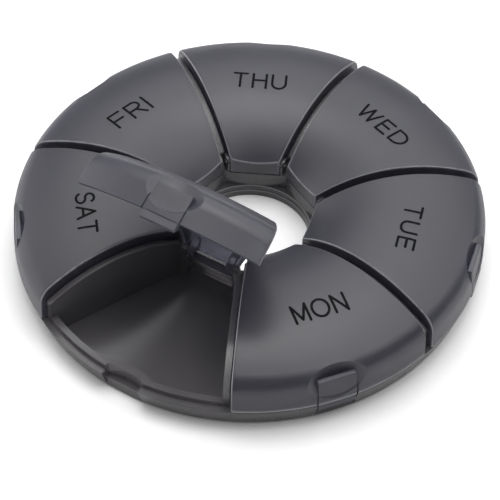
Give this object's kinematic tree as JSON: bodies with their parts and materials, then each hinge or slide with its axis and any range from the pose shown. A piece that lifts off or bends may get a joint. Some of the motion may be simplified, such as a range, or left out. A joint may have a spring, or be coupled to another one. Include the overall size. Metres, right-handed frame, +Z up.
{
  "type": "weekly pill organizer",
  "caption": "Flat round pill organizer in smoky translucent plastic: wedge compartments round a finger hole, each under a domed flip-up lid hinged on a steel pin.",
  "frame": {"origin": "centre of the underside, on the axis of the finger hole", "axes": "+Z up, away from the table; -Y through the middle of the compartment whose lid stands open; the days run counter-clockwise seen from above"},
  "size_m": [0.092, 0.0918, 0.0374],
  "materials": {
    "tub_plastic": "smoky translucent, polished",
    "lid_plastic": "smoky translucent, polished",
    "pin_steel": "drawn wire"
  },
  "bodies": {
    "tub": {"base_tub": "tub_plastic", "hinge_pin_sun": "pin_steel", "hinge_pin_mon": "pin_steel", "hinge_pin_tue": "pin_steel", "hinge_pin_wed": "pin_steel", "hinge_pin_thu": "pin_steel", "hinge_pin_fri": "pin_steel", "hinge_pin_sat": "pin_steel"},
    "sun_lid": {"lid_sun": "lid_plastic"},
    "mon_lid": {"lid_mon": "lid_plastic"},
    "tue_lid": {"lid_tue": "lid_plastic"},
    "wed_lid": {"lid_wed": "lid_plastic"},
    "thu_lid": {"lid_thu": "lid_plastic"},
    "fri_lid": {"lid_fri": "lid_plastic"},
    "sat_lid": {"lid_sat": "lid_plastic"}
  },
  "joints": [
    {"name": "lid_sun_hinge", "type": "hinge", "parent": "tub", "child": "sun_lid", "pos_m": [0, -0.0136, 0.0078], "axis": [-1, 0, 0], "range_deg": [-64, 8]},
    {"name": "lid_mon_hinge", "type": "hinge", "parent": "tub", "child": "mon_lid", "pos_m": [0.01063, -0.00848, 0.0078], "axis": [-0.6235, -0.7818, 0], "range_deg": [0, 10]},
    {"name": "lid_tue_hinge", "type": "hinge", "parent": "tub", "child": "tue_lid", "pos_m": [0.01326, 0.00303, 0.0078], "axis": [-0.2225, 0.9749, 0], "range_deg": [-72, 0]},
    {"name": "lid_wed_hinge", "type": "hinge", "parent": "tub", "child": "wed_lid", "pos_m": [0.0059, 0.01225, 0.0078], "axis": [0.901, -0.4339, 0], "range_deg": [0, 72]},
    {"name": "lid_thu_hinge", "type": "hinge", "parent": "tub", "child": "thu_lid", "pos_m": [-0.0059, 0.01225, 0.0078], "axis": [-0.901, -0.4339, 0], "range_deg": [-72, 0]},
    {"name": "lid_fri_hinge", "type": "hinge", "parent": "tub", "child": "fri_lid", "pos_m": [-0.01326, 0.00303, 0.0078], "axis": [0.2225, 0.9749, 0], "range_deg": [0, 72]},
    {"name": "lid_sat_hinge", "type": "hinge", "parent": "tub", "child": "sat_lid", "pos_m": [-0.01063, -0.00848, 0.0078], "axis": [0.6235, -0.7818, 0], "range_deg": [-10, 0]}
  ]
}
